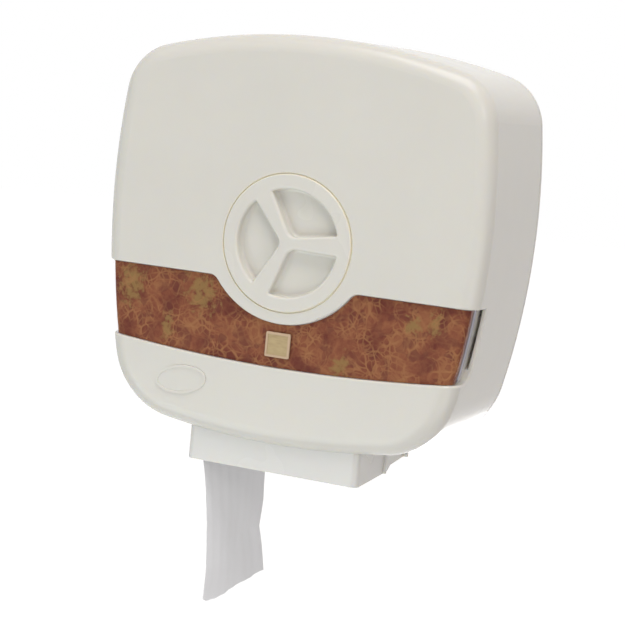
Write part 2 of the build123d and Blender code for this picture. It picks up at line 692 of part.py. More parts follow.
def roll_hub():
    """Hub that turns on the spindle and carries the core on a ribbed ring."""
    bore = SPINDLE_R + HUB_FIT
    sleeve = bore + HUB_SLEEVE_T
    rim = CORE_R - CORE_GAP
    rim_front = HUB_FRONT - HUB_RING_SHORT
    hub = disc(sleeve, HUB_BACK, HUB_FRONT)
    hub += disc(HUB_SHOULDER_R, HUB_BACK, HUB_BACK + HUB_SHOULDER_T)
    hub += ring(rim, rim - HUB_RING_T, HUB_BACK, rim_front)
    for angle in angles(HUB_RIBS):
        rib = block(0, rim - HUB_RING_T / 2, HUB_BACK, rim_front, -HUB_RIB_T / 2, HUB_RIB_T / 2)
        hub += spin(rib, angle)
    return hub - disc(bore, HUB_BACK, HUB_FRONT)


def core_tube():
    return ring(CORE_R + CORE_T, CORE_R, PAPER_BACK, PAPER_FRONT)


def paper_roll():
    return ring(PAPER_R, CORE_R + CORE_T + CORE_GAP, PAPER_BACK, PAPER_FRONT)


def wall_holes():
    return [(x, z) for x in (-WALL_HOLE_X, WALL_HOLE_X) for z in (-WALL_HOLE_Z, WALL_HOLE_Z)]


def back_plate():
    plate = slab(outline(-DRAFT), 0, PLATE_T)
    inset = WALL - draft_at(PLATE_T + RIM_HEIGHT) + RIM_GAP
    rim = slab(outline(inset), PLATE_T, PLATE_T + RIM_HEIGHT)
    rim -= slab(outline(inset + RIM_T), PLATE_T, PLATE_T + RIM_HEIGHT)
    half = OUTLET_HALF + RIM_ENDS
    rim -= block(-half, half, PLATE_T, PLATE_T + RIM_HEIGHT, -BOTTOM, OUTLET_SIDE_TOP)
    plate += rim
    for angle in angles(RIB_COUNT, 360 / RIB_COUNT / 2):
        rib = block(RIB_INNER, RIB_OUTER, PLATE_T, PLATE_T + RIB_HEIGHT, -RIB_T / 2, RIB_T / 2)
        plate += spin(rib, angle)
    plate += ring(RIB_OUTER, RIB_OUTER - RIB_T, PLATE_T, PLATE_T + RIB_HEIGHT)
    face = PLATE_T + WALL_BOSS_T
    for x, z in wall_holes():
        plate += disc(WALL_BOSS_R, PLATE_T, face, x, z)
        plate -= disc(WALL_HOLE_R, 0, face, x, z)
        plate -= cone(WALL_HOLE_R, WALL_SINK_R, face - WALL_SINK_T, face, x, z)
    for angle in angles(FLANGE_SCREWS, 360 / FLANGE_SCREWS / 2):
        plate -= pilot(*turned(FLANGE_SCREW_AT, angle), PILOT_SKIN, PLATE_T)
    for x in (-REAR_SCREW_X, 0, REAR_SCREW_X):
        plate -= pilot(x, REAR_SCREW_Z, PILOT_SKIN, PLATE_T)
    return plate


def tear_teeth(back, front, wall):
    """Toothed ledges inside both side walls, between two depths."""
    inner = OUTLET_INNER - TEAR_LEDGE
    count = int((front - back) / TOOTH_PITCH)
    base = Pos((inner + wall) / 2, -(back + front) / 2) * Rectangle(wall - inner, front - back)
    for i in range(count):
        start = -back - i * TOOTH_PITCH
        base += Polygon((inner, start), (inner - TOOTH_DEPTH, start - TOOTH_PITCH / 2),
                        (inner, start - TOOTH_PITCH), align=None)
    low = -BOTTOM - TEAR_LEDGE_DROP
    ledge = extrude(Plane.XY.offset(low) * base, amount=TEAR_LEDGE_T)
    return ledge + mirror(ledge, about=Plane.YZ)


def outlet_front():
    """Front half of the outlet: a rounded front wall and two side walls, open at the rear."""
    low = -BOTTOM - OUTLET_TAB_DROP
    length = OUTLET_FRONT - OUTLET_SPLIT
    outer = Rectangle(2 * OUTLET_HALF, length)
    outer = fillet(outer.vertices().sort_by(Axis.Y)[:2], OUTLET_CORNER)
    inner = Pos(0, OUTLET_WALL) * Rectangle(2 * OUTLET_INNER, length)
    inner = fillet(inner.vertices().sort_by(Axis.Y)[:2], OUTLET_CORNER - OUTLET_WALL)
    plan = Pos(0, -(OUTLET_FRONT + OUTLET_SPLIT) / 2) * (outer - inner)
    form = extrude(Plane.XY.offset(low) * plan, amount=OUTLET_RISE + OUTLET_TAB_DROP)
    form -= block(-HALF_WIDTH, HALF_WIDTH, 0, OUTLET_INSIDE, OUTLET_SIDE_TOP, 0)
    half = OUTLET_HALF - OUTLET_TAB
    edge = -BOTTOM - OUTLET_FRONT_DROP
    trim = Polygon((-half, edge), (half, edge), (OUTLET_HALF, low), (-OUTLET_HALF, low), align=None)
    form -= slab(trim, OUTLET_INSIDE - OUTLET_CORNER, OUTLET_FRONT)
    trim = [(OUTLET_FRONT, low), (0, low), (0, -BOTTOM - OUTLET_DROP),
            (OUTLET_SPLIT, -BOTTOM - OUTLET_DROP)]
    form -= side_plate(trim, -HALF_WIDTH, HALF_WIDTH)
    reach = OUTLET_HALF + BEAD_R
    top = BOTTOM_ARC - BOTTOM - (BOTTOM_ARC ** 2 - reach ** 2) ** 0.5 - DRAFT - RUN_GAP
    bead = Cylinder(BEAD_R, top + BOTTOM + OUTLET_DROP, align=(Align.CENTER, Align.CENTER, Align.MAX))
    for side in (-1, 1):
        lip = Pos(side * OUTLET_HALF, -OUTLET_SPLIT, top) * bead
        form += lip - block(-OUTLET_INNER, OUTLET_INNER, 0, DEPTH, -BOTTOM - OUTLET_DROP, top)
    start = OUTLET_SPLIT + TONGUE_LAP + TEAR_MARGIN
    form += tear_teeth(start, OUTLET_INSIDE - OUTLET_CORNER, OUTLET_INNER + OUTLET_WALL / 2)
    for side in (-1, 0, 1):
        at = (side * OUTLET_SCREW_X, OUTLET_SCREW_Z)
        form -= pilot(*at, OUTLET_INSIDE, OUTLET_FRONT) + sink(*at, OUTLET_INSIDE, -1)
    return form


def outlet_front_screws():
    tip = OUTLET_INSIDE + OUTLET_SCREW_LENGTH
    return [sunk_screw(side * OUTLET_SCREW_X, OUTLET_SCREW_Z, OUTLET_INSIDE, tip)
            for side in (-1, 0, 1)]


def outlet_rear():
    """Rear half of the outlet: two shaped side walls on a plate, with tongues into the front half."""
    low = -BOTTOM - REAR_TAB_DROP
    profile = [(PLATE_T, -BOTTOM - REAR_EDGE_DROP), (REAR_SLOPE_END, -BOTTOM - REAR_SLOPE_DROP),
               (REAR_TAB_START, low), (REAR_FRONT, -BOTTOM - OUTLET_DROP),
               (REAR_FRONT, OUTLET_SIDE_TOP), (PLATE_T, OUTLET_SIDE_TOP)]
    wall = side_plate(profile, REAR_INNER, OUTLET_HALF)
    wall = fillet(wall.edges().filter_by(Axis.X).sort_by(Axis.Z)[0], REAR_TAB_CORNER)
    wall -= Pos(OUTLET_HALF, -OUTLET_SPLIT, 0) * Cylinder(BEAD_R + REAR_GAP, 2 * -low)
    face = OUTLET_INNER - TONGUE_CLEAR
    wall += block(face - TONGUE_WALL, face, REAR_FRONT - TONGUE_LAP, OUTLET_SPLIT + TONGUE_LAP,
                  -BOTTOM - OUTLET_DROP + TONGUE_MARGIN, OUTLET_SIDE_TOP - TONGUE_MARGIN)
    form = wall + mirror(wall, about=Plane.YZ)
    form += block(-OUTLET_HALF, OUTLET_HALF, PLATE_T, PLATE_T + REAR_PLATE_T,
                  -BOTTOM - REAR_EDGE_DROP, OUTLET_SIDE_TOP)
    form += tear_teeth(PAPER_BACK, REAR_FRONT - TEAR_MARGIN, REAR_INNER + REAR_WALL_T / 2)
    for x in (-REAR_SCREW_X, 0, REAR_SCREW_X):
        form -= pilot(x, REAR_SCREW_Z, PLATE_T, PLATE_T + REAR_PLATE_T)
    return form


def outlet_rear_screws():
    return [pan_screw(x, REAR_SCREW_Z, PLATE_T + REAR_PLATE_T, PILOT_SKIN)
            for x in (-REAR_SCREW_X, 0, REAR_SCREW_X)]


def paper_sheet():
    """Tail of paper, from the left of the roll over a bend and down through the outlet."""
    reach = PAPER_R + RUN_GAP + SHEET_T / 2
    away = hypot(SHEET_X, SHEET_BEND_Z)
    lean = atan2(-SHEET_X, -SHEET_BEND_Z) - asin(reach / away)
    length = (away ** 2 - reach ** 2) ** 0.5
    tangent = (SHEET_X + length * sin(lean), SHEET_BEND_Z + length * cos(lean))
    low = -BOTTOM - SHEET_FRONT_DROP
    end = (SHEET_X + SHEET_LEAN, low)
    path = FilletPolyline(end, (SHEET_X, SHEET_BEND_Z), tangent, radius=SHEET_BEND_R)
    sheet = slab(trace(path, line_width=SHEET_T), PAPER_BACK, PAPER_FRONT)
    trim = [(PAPER_FRONT, low), (PAPER_FRONT, low - OVERRUN), (PAPER_BACK, low - OVERRUN),
            (PAPER_BACK, -BOTTOM - SHEET_REAR_DROP)]
    return sheet - side_plate(trim, SHEET_X, SHEET_X + 2 * SHEET_LEAN)


NODES = {
    "back_plate": back_plate,
    "spindle": spindle,
    "spindle_screws": spindle_screws,
    "latch_keeper": latch_keeper,
    "keeper_screws": keeper_screws,
    "outlet_rear": outlet_rear,
    "outlet_rear_screws": outlet_rear_screws,
    "paper_sheet": paper_sheet,
    "thrust_washer": thrust_washer,
    "roll_hub": roll_hub,
    "core_tube": core_tube,
    "paper_roll": paper_roll,
    "front_cover": front_cover,
    "outlet_front": outlet_front,
    "outlet_front_screws": outlet_front_screws,
    "window_lens": window_lens,
    "decor_panel": decor_panel,
    "square_tile": square_tile,
    "latch_knob": latch_knob,
    "latch_retainer": latch_retainer,
    "retainer_screws": retainer_screws,
    "slip_ring": slip_ring,
    "latch_stem": latch_stem,
    "stem_screw": stem_screw,
}

os.makedirs("parts", exist_ok=True)
for node, make in NODES.items():
    made = make()
    solids = made if isinstance(made, list) else made.solids()
    export_step(Compound(label=node, children=list(solids)), f"parts/{node}.step")
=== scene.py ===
from math import asin, atan2, cos, pi, radians, sin

import bpy
import numpy as np
from mathutils import Matrix, Vector


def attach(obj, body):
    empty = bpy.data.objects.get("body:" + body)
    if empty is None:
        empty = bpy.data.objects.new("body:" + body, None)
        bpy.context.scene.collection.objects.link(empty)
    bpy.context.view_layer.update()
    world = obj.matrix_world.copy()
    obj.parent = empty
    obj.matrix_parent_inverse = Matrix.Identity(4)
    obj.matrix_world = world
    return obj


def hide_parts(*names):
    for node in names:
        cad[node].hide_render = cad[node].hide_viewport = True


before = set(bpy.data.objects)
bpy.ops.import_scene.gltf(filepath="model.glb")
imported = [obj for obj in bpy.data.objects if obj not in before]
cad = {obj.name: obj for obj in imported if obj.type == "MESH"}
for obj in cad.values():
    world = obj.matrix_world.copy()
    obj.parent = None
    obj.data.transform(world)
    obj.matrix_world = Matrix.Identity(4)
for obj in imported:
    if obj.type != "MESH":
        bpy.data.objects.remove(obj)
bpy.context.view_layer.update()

scene = bpy.context.scene
scene.view_settings.view_transform = "Standard"


# Camera
# It stands a little to the right of the dispenser and above it. The picture was turned by a few
# degrees after it was taken, so the camera is rolled.
AZIMUTH, ELEVATION, ROLL = radians(22.03), radians(7.09), radians(5.62)
CAMERA_AT = (0.4702, -1.2183, 0.1040)
LENS_MM, SENSOR_MM = 102.53, 36
ahead = Vector((-sin(AZIMUTH) * cos(ELEVATION), cos(AZIMUTH) * cos(ELEVATION), -sin(ELEVATION)))
level = Vector((cos(AZIMUTH), sin(AZIMUTH), 0))
above = level.cross(ahead)
across = cos(ROLL) * level + sin(ROLL) * above
upright = cos(ROLL) * above - sin(ROLL) * level
bpy.ops.object.camera_add()
camera = bpy.context.object
camera.data.lens = LENS_MM
camera.data.sensor_width = SENSOR_MM
camera.data.clip_start = 0.01
camera.data.clip_end = 60
turn = Matrix((across, upright, -ahead)).transposed().to_4x4()
camera.matrix_world = Matrix.Translation(CAMERA_AT) @ turn
scene.camera = camera


# Studio
# A white sweep lit from all round, with soft lamps low at the left, above, low at the right, at
# the upper right and behind. The floor is far below, because the dispenser hangs on a wall.
FILL_COLOUR, FILL_LIGHT = (1.0, 0.955, 0.950, 1), 0.38
FLOOR_RADIUS, FLOOR_Z = 34, -2.4
FLOOR_COLOUR, FLOOR_WHITENING = (0.86, 0.86, 0.86, 1), 0.75


def joined(tree, operation, first, second=None):
    """One value changed by a math operation, or two joined by it."""
    node = tree.nodes.new("ShaderNodeMath")
    node.operation = operation
    for socket, value in zip(node.inputs, (first, second)):
        if isinstance(value, float):
            socket.default_value = value
        elif value is not None:
            tree.links.new(value, socket)
    return node.outputs[0]


def seen(tree):
    """1 for a ray that looks at the surroundings, also in gloss or through glass, 0 for light."""
    rays = tree.nodes.new("ShaderNodeLightPath").outputs
    plain_or_gloss = joined(tree, "MAXIMUM", rays["Is Camera Ray"], rays["Is Glossy Ray"])
    return joined(tree, "MAXIMUM", plain_or_gloss, rays["Is Transmission Ray"])


world = bpy.data.worlds.new("studio_white")
scene.world = world
world.use_nodes = True
sky = world.node_tree
sky_light = sky.nodes["Background"]
sky_light.inputs["Color"].default_value = FILL_COLOUR
sky_light.inputs["Strength"].default_value = FILL_LIGHT
sky_white = sky.nodes.new("ShaderNodeBackground")
sky_white.inputs["Color"].default_value = (1, 1, 1, 1)
sky_white.inputs["Strength"].default_value = 1.0
sky_mix = sky.nodes.new("ShaderNodeMixShader")
sky.links.new(seen(sky), sky_mix.inputs["Fac"])
sky.links.new(sky_light.outputs[0], sky_mix.inputs[1])
sky.links.new(sky_white.outputs[0], sky_mix.inputs[2])
sky.links.new(sky_mix.outputs[0], sky.nodes["World Output"].inputs["Surface"])

bpy.ops.mesh.primitive_circle_add(vertices=96, radius=FLOOR_RADIUS, fill_type="NGON",
                                  location=(0, 0, FLOOR_Z))
floor = bpy.context.object
floor.name = "studio_floor"
floor_mat = bpy.data.materials.new("floor_white")
floor_mat.use_nodes = True
floor_tree = floor_mat.node_tree
floor_tree.nodes.remove(floor_tree.nodes["Principled BSDF"])
floor_matt = floor_tree.nodes.new("ShaderNodeBsdfDiffuse")
floor_matt.inputs["Color"].default_value = FLOOR_COLOUR
floor_glow = floor_tree.nodes.new("ShaderNodeEmission")
floor_add = floor_tree.nodes.new("ShaderNodeAddShader")
floor_tree.links.new(joined(floor_tree, "MULTIPLY", seen(floor_tree), FLOOR_WHITENING),
                     floor_glow.inputs["Strength"])
floor_tree.links.new(floor_matt.outputs[0], floor_add.inputs[0])
floor_tree.links.new(floor_glow.outputs[0], floor_add.inputs[1])
floor_tree.links.new(floor_add.outputs[0], floor_tree.nodes["Material Output"].inputs["Surface"])
floor.data.materials.append(floor_mat)


def lamp(name, place, aim, size, watts, colour):
    """A square soft lamp that points at a spot."""
    bpy.ops.object.light_add(type="AREA", location=place)
    light = bpy.context.object
    light.name = name
    light.data.size = size
    light.data.energy = watts
    light.data.color = colour
    light.rotation_euler = (Vector(aim) - Vector(place)).to_track_quat("-Z", "Y").to_euler()


lamp("low_left_lamp", (-0.8, -1.75, -1.2), (0, 0, -0.05), 1.6, 22, (0.87, 0.965, 1))
lamp("top_lamp", (0.3, -0.9, 2.2), (0, 0, 0), 1.6, 41, (0.985, 0.985, 1))
lamp("low_right_lamp", (1.8, -1.3, -0.8), (0, 0, -0.1), 1.5, 9, (0.97, 0.97, 1))
lamp("upper_right_lamp", (1.7, -1.9, 0.9), (0, 0, 0), 0.5, 7, (1, 0.985, 0.96))
lamp("rear_lamp", (-0.6, 2.6, -0.9), (0, 0, 0), 1.2, 14, (1, 1, 1))


# Back plate
# The cream moulded plate that is screwed to the wall. Only its edge shows behind the cover,
# until the cover is pulled off.
def finish(name):
    """A new material with its nodes, its shader and its object coordinates."""
    mat = bpy.data.materials.new(name)
    mat.use_nodes = True
    tree = mat.node_tree
    place = tree.nodes.new("ShaderNodeTexCoord")
    return mat, tree, tree.nodes["Principled BSDF"], place.outputs["Object"]


def noise(tree, where, scale, detail, rough=0.5, stretch=None):
    """A noise pattern in object coordinates, stretched if asked."""
    node = tree.nodes.new("ShaderNodeTexNoise")
    node.inputs["Scale"].default_value = scale
    node.inputs["Detail"].default_value = detail
    node.inputs["Roughness"].default_value = rough
    if stretch:
        mapping = tree.nodes.new("ShaderNodeMapping")
        mapping.inputs["Scale"].default_value = stretch
        tree.links.new(where, mapping.inputs["Vector"])
        where = mapping.outputs["Vector"]
    tree.links.new(where, node.inputs["Vector"])
    return node.outputs["Fac"]


def ramp(tree, value, *stops):
    """Colours set along a value."""
    node = tree.nodes.new("ShaderNodeValToRGB")
    bar = node.color_ramp
    while len(bar.elements) < len(stops):
        bar.elements.new(0.5)
    for element, (at, colour) in zip(bar.elements, stops):
        element.position = at
        element.color = (*colour, 1)
    tree.links.new(value, node.inputs["Fac"])
    return node.outputs["Color"]


def spread(tree, value, low, high):
    """A noise, mostly between 0.3 and 0.7, brought to between low and high."""
    node = tree.nodes.new("ShaderNodeMapRange")
    node.inputs["From Min"].default_value = 0.3
    node.inputs["From Max"].default_value = 0.7
    node.inputs["To Min"].default_value = low
    node.inputs["To Max"].default_value = high
    tree.links.new(value, node.inputs["Value"])
    return node.outputs["Result"]


def bump(tree, shader, height, strength, distance):
    """Fine relief on the shader, from a pattern's value."""
    node = tree.nodes.new("ShaderNodeBump")
    node.inputs["Strength"].default_value = strength
    node.inputs["Distance"].default_value = distance
    tree.links.new(height, node.inputs["Height"])
    tree.links.new(node.outputs["Normal"], shader.inputs["Normal"])


def plastic(name, colour, rough):
    """Moulded plastic: a faint cloudy tone, a fine skin and a slightly uneven gloss."""
    mat, tree, shader, where = finish(name)
    dark = [c * 0.985 for c in colour]
    light = [c * 1.012 for c in colour]
    cloud = noise(tree, where, 11, 3)
    tree.links.new(ramp(tree, cloud, (0.3, dark), (0.7, light)), shader.inputs["Base Color"])
    gloss = noise(tree, where, 22, 2)
    tree.links.new(spread(tree, gloss, rough * 0.93, rough * 1.08), shader.inputs["Roughness"])
    bump(tree, shader, noise(tree, where, 900, 2), 0.12, 0.00002)
    shader.inputs["Specular IOR Level"].default_value = 0.35
    shader.inputs["Subsurface Weight"].default_value = 0.35
    shader.inputs["Subsurface Radius"].default_value = (1.0, 0.75, 0.4)
    shader.inputs["Subsurface Scale"].default_value = 0.0015
    return mat


def dress(mat, *node_names):
    """Gives CAD nodes their finish."""
    for node_name in node_names:
        mesh = cad[node_name].data
        mesh.materials.clear()
        mesh.materials.append(mat)


dress(plastic("plate_cream", (0.64, 0.62, 0.57), 0.32), "back_plate")


# Spindle and hub
# Off-white moulded parts that hold the roll: a fixed post on the plate, and the ribbed hub
# that turns on it.
dress(plastic("hub_white", (0.60, 0.60, 0.58), 0.45), "spindle", "roll_hub")


# Latch
# Satin grey parts of harder plastic: the keeper on the spindle, the T-bar that turns behind it,
# the ring that holds the knob in its seat, and the washer in front of the hub.
dress(plastic("latch_grey", (0.10, 0.105, 0.115), 0.4),
      "latch_keeper", "latch_stem", "latch_retainer", "thrust_washer")


# Screws and friction ring
# Zinc-plated steel, slightly uneven from the plating. The screws hold the inner parts together,
# and the ring lies between the knob's retainer and its seat.
steel, steel_tree, steel_shader, steel_place = finish("zinc_plate")
steel_tone = ramp(steel_tree, noise(steel_tree, steel_place, 220, 4),
                  (0.3, (0.50, 0.50, 0.52)), (0.7, (0.68, 0.68, 0.68)))
steel_tree.links.new(steel_tone, steel_shader.inputs["Base Color"])
steel_shader.inputs["Metallic"].default_value = 1
steel_tree.links.new(spread(steel_tree, noise(steel_tree, steel_place, 500, 3), 0.24, 0.42),
                     steel_shader.inputs["Roughness"])
bump(steel_tree, steel_shader, noise(steel_tree, steel_place, 1500, 2), 0.2, 0.00002)
dress(steel, "spindle_screws", "keeper_screws", "outlet_rear_screws", "outlet_front_screws",
      "retainer_screws", "stem_screw", "slip_ring")


# Core
# The tube of grey-brown cardboard that the paper is wound on. It is pushed over the hub, and
# only its ends can be seen.
board, board_tree, board_shader, board_place = finish("core_board")
board_tone = ramp(board_tree, noise(board_tree, board_place, 120, 5, 0.7),
                  (0.3, (0.30, 0.22, 0.14)), (0.7, (0.40, 0.31, 0.21)))
board_tree.links.new(board_tone, board_shader.inputs["Base Color"])
board_shader.inputs["Roughness"].default_value = 0.85
bump(board_tree, board_shader, noise(board_tree, board_place, 900, 4), 0.4, 0.0001)
dress(board, "core_tube")


# Roll
# Soft white tissue, wound on the core. The sides show fine rings of layers, and the outside has
# a soft crepe.
def reach_of(tree, vector):
    """How long a vector is."""
    node = tree.nodes.new("ShaderNodeVectorMath")
    node.operation = "LENGTH"
    tree.links.new(vector, node.inputs[0])
    return node.outputs["Value"]


def from_axis(tree, where):
    """Distance from the line through the middle of the knob, the hub and the roll."""
    flat = tree.nodes.new("ShaderNodeMapping")
    flat.inputs["Scale"].default_value = (1, 0, 1)
    tree.links.new(where, flat.inputs["Vector"])
    return reach_of(tree, flat.outputs["Vector"])


roll_paper, roll_tree, roll_shader, roll_place = finish("roll_tissue")
roll_line = roll_tree.nodes.new("ShaderNodeCombineXYZ")
roll_tree.links.new(from_axis(roll_tree, roll_place), roll_line.inputs["X"])
roll_rings = ramp(roll_tree, noise(roll_tree, roll_line.outputs[0], 1400, 2),
                  (0.35, (0.58, 0.58, 0.60)), (0.6, (0.74, 0.74, 0.75)))
roll_tree.links.new(roll_rings, roll_shader.inputs["Base Color"])
roll_shader.inputs["Roughness"].default_value = 0.95
roll_shader.inputs["Sheen Weight"].default_value = 0.2
crepe = noise(roll_tree, roll_place, 700, 4, 0.6, (1, 0.35, 1))
bump(roll_tree, roll_shader, crepe, 0.5, 0.0002)
dress(roll_paper, "paper_roll")


# Paper tail
# One ply of soft tissue from the left of the roll, over a bend and down through the outlet. It
# leans in a little, its rear edge wanders, and the torn lower edge is not quite straight.
SHEET_WIDTH, SHEET_NEAR, PLY = 0.095, -0.1027, 0.00018
ROLL_REACH = 0.0984
BEND_AT, BEND_SOFT = Vector((-0.057, -0.110)), 0.012
FREE_END = Vector((-0.0430, -0.262))
WAVES = ((0.0004, 3.1, 0, 0.2), (0.0002, 7.3, 0, 0.6), (0.0006, 1.4, 2.2, 0))
WAVES_FROM, WAVES_GROW = -0.125, 0.05
TEAR_FADE = 6
bend_reach = BEND_AT.length
slant = atan2(-BEND_AT.x, -BEND_AT.y) - asin(ROLL_REACH / bend_reach)
run = (bend_reach ** 2 - ROLL_REACH ** 2) ** 0.5
lift_off = BEND_AT + run * Vector((sin(slant), cos(slant)))
drop = (FREE_END - BEND_AT).length
SHEET_LENGTH = run + drop


def along(distance):
    """Front-view place at a distance from where the tail leaves the roll."""
    if distance <= run - BEND_SOFT:
        return lift_off + (BEND_AT - lift_off) * (distance / run)
    if distance >= run + BEND_SOFT:
        return BEND_AT + (FREE_END - BEND_AT) * ((distance - run) / drop)
    before = BEND_AT + (lift_off - BEND_AT) * (BEND_SOFT / run)
    after = BEND_AT + (FREE_END - BEND_AT) * (BEND_SOFT / drop)
    t = (distance - run + BEND_SOFT) / (2 * BEND_SOFT)
    return before * (1 - t) ** 2 + BEND_AT * (2 * t * (1 - t)) + after * t ** 2


# How far the rear and the front edge lean sideways at each height, and how much lower or higher
# the tear is at each depth, which fades upwards.
heights = (-0.262, -0.240, -0.225, -0.205, -0.182, -0.160, -0.130, -0.100, -0.040)
far_shift = (0.0050, 0.0022, -0.0004, 0.0032, 0.0051, 0.0056, 0.0030, 0.0, 0.0)
near_shift = (-0.0014, 0.0018, 0.0028, 0.0029, 0.0012, -0.0012, -0.0010, 0.0, 0.0)
tear_depths = (-0.1027, -0.098, -0.084, -0.071, -0.058, -0.044, -0.032, -0.015, -0.0077)
tear_drops = (-0.0020, 0.0005, 0.0022, 0.0016, 0.0001, -0.0022, -0.0026, -0.0041, -0.0037)

bpy.ops.object.select_all(action="DESELECT")
bpy.ops.mesh.primitive_grid_add(x_subdivisions=96, y_subdivisions=230, size=1)
tail = bpy.context.object
tail.name = "paper_tail"
for vertex in tail.data.vertices:
    width_share = vertex.co.x + 0.5
    length_share = 0.5 - vertex.co.y
    y = SHEET_NEAR + SHEET_WIDTH * width_share
    tear = float(np.interp(y, tear_depths, tear_drops)) * length_share ** TEAR_FADE
    spot = along(length_share * SHEET_LENGTH + tear)
    near = float(np.interp(spot.y, heights, near_shift))
    far = float(np.interp(spot.y, heights, far_shift))
    shift = (1 - width_share) * near + width_share * far
    free = min(max((WAVES_FROM - spot.y) / WAVES_GROW, 0), 1)
    wave = sum(size * sin(2 * pi * (sideways * width_share + down * length_share + start))
               for size, sideways, down, start in WAVES)
    vertex.co = (spot.x + shift + wave * free, y, spot.y)
bpy.ops.object.select_all(action="DESELECT")
tail.select_set(True)
bpy.context.view_layer.objects.active = tail
bpy.ops.object.mode_set(mode="EDIT")
bpy.ops.mesh.select_all(action="SELECT")
bpy.ops.mesh.normals_make_consistent(inside=False)
bpy.ops.object.mode_set(mode="OBJECT")
thick = tail.modifiers.new("ply", "SOLIDIFY")
thick.thickness = PLY
thick.offset = 0
bpy.ops.object.modifier_apply(modifier="ply")
bpy.ops.object.shade_smooth_by_angle(angle=radians(40))

tissue, tissue_tree, tissue_shader, tissue_place = finish("tail_tissue")
fibres = noise(tissue_tree, tissue_place, 320, 5, 0.6, (1, 1, 0.3))
streaks = noise(tissue_tree, tissue_place, 90, 3, 0.5, (1, 1, 0.03))
crumple = tissue_tree.nodes.new("ShaderNodeMix")
crumple.data_type = "FLOAT"
crumple.inputs["Factor"].default_value = 0.6
tissue_tree.links.new(fibres, crumple.inputs["A"])
tissue_tree.links.new(streaks, crumple.inputs["B"])
tissue_tone = ramp(tissue_tree, crumple.outputs[0],
                   (0.35, (0.92, 0.93, 0.95)), (0.65, (0.95, 0.96, 0.98)))
tissue_tree.links.new(tissue_tone, tissue_shader.inputs["Base Color"])
tissue_shader.inputs["Roughness"].default_value = 0.95
tissue_shader.inputs["Sheen Weight"].default_value = 0.6
tissue_shader.inputs["Sheen Roughness"].default_value = 0.5
tissue_shader.inputs["Subsurface Weight"].default_value = 0.9
tissue_shader.inputs["Subsurface Radius"].default_value = (1, 1, 1)
tissue_shader.inputs["Subsurface Scale"].default_value = 0.0008
bump(tissue_tree, tissue_shader, crumple.outputs[0], 0.25, 0.0002)
tail.data.materials.append(tissue)
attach(tail, "base")
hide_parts("paper_sheet")


# Outlet
# Two moulded halves in a cream a little whiter than the cover's; the extra whiteness is painted
# light against the shade under the cover. The front half is screwed inside the cover, and the rear
# half to the plate. The toothed ledges inside tear the paper.
dress(plastic("outlet_cream", (0.70, 0.685, 0.645), 0.26), "outlet_front", "outlet_rear")


# Cover and knob
# Glossy cream mouldings. The knob sits in a round hole of the cover with a fine groove round it,
# and a warm tan is painted round the groove as painted shade.
GROOVE_RADIUS, GROOVE_SPREAD = 0.0472, 0.002
# The tan is painted shade, standing in for the warm shade down in the groove between cover and
# knob.
GROOVE_SHADE_TAN = (0.76, 0.70, 0.55)


def mixed(tree, factor, first, second):
    """Two colours mixed by a factor."""
    node = tree.nodes.new("ShaderNodeMix")
    node.data_type = "RGBA"
    tree.links.new(factor, node.inputs["Factor"])
    for socket, colour in ((node.inputs["A"], first), (node.inputs["B"], second)):
        if isinstance(colour, tuple):
            socket.default_value = (*colour, 1)
        else:
            tree.links.new(colour, socket)
    return node.outputs["Result"]


def grey(level):
    """A grey for a ramp that serves as a mask."""
    return (level, level, level)


cover_cream = plastic("cover_cream", (0.666, 0.643, 0.582), 0.24)
dress(cover_cream, "front_cover")
knob_cream = plastic("knob_cream", (0.676, 0.653, 0.592), 0.26)
dress(knob_cream, "latch_knob")
for mat in (cover_cream, knob_cream):
    tree = mat.node_tree
    base = tree.nodes["Principled BSDF"].inputs["Base Color"]
    cream = base.links[0].from_socket
    radius = from_axis(tree, tree.nodes["Texture Coordinate"].outputs["Object"])
    off_groove = joined(tree, "ABSOLUTE", joined(tree, "SUBTRACT", radius, GROOVE_RADIUS))
    off_groove = joined(tree, "DIVIDE", off_groove, GROOVE_SPREAD)
    # Painted shade: the cream turns tan near the groove's radius and fades out across its spread.
    groove_shade = ramp(tree, off_groove, (0.2, grey(1)), (0.5, grey(0)))
    tree.links.new(mixed(tree, groove_shade, cream, GROOVE_SHADE_TAN), base)


# Decor panel
# A thin sheet printed to look like brown marble: rust and plum clouds under a net of fine tan
# veins, with a few olive and gold patches. The print ends just round both corners of the front;
# past it the sheet carries painted shadow and a painted reflection of the lens edge.
PRINT_FRONT, PRINT_RETURN, PATCH_DEPTH = -0.112, 0.01449, 0.03
PLUM, GOLD, VEIN = (0.125, 0.035, 0.025), (0.270, 0.165, 0.058), (0.365, 0.168, 0.068)
# Past the print: a painted shadow line, a painted reflection of the lens edge, and painted shade.
PAINTED_GAP_SHADOW, PAINTED_LENS_EDGE_REFLECTION, PAINTED_GAP_SHADE = (0.045, 0.022, 0.024), (0.36, 0.35, 0.43), (0.14, 0.12, 0.14)
GOLD_PATCHES = (
    ((-0.116, -0.042), (0.019, 0.030)),
    ((-0.061, -0.042), (0.023, 0.026)),
    ((-0.085, -0.070), (0.009, 0.020)),
    ((0.046, -0.078), (0.012, 0.018)),
    ((0.095, -0.043), (0.011, 0.013)),
    ((0.111, -0.040), (0.009, 0.016)),
)


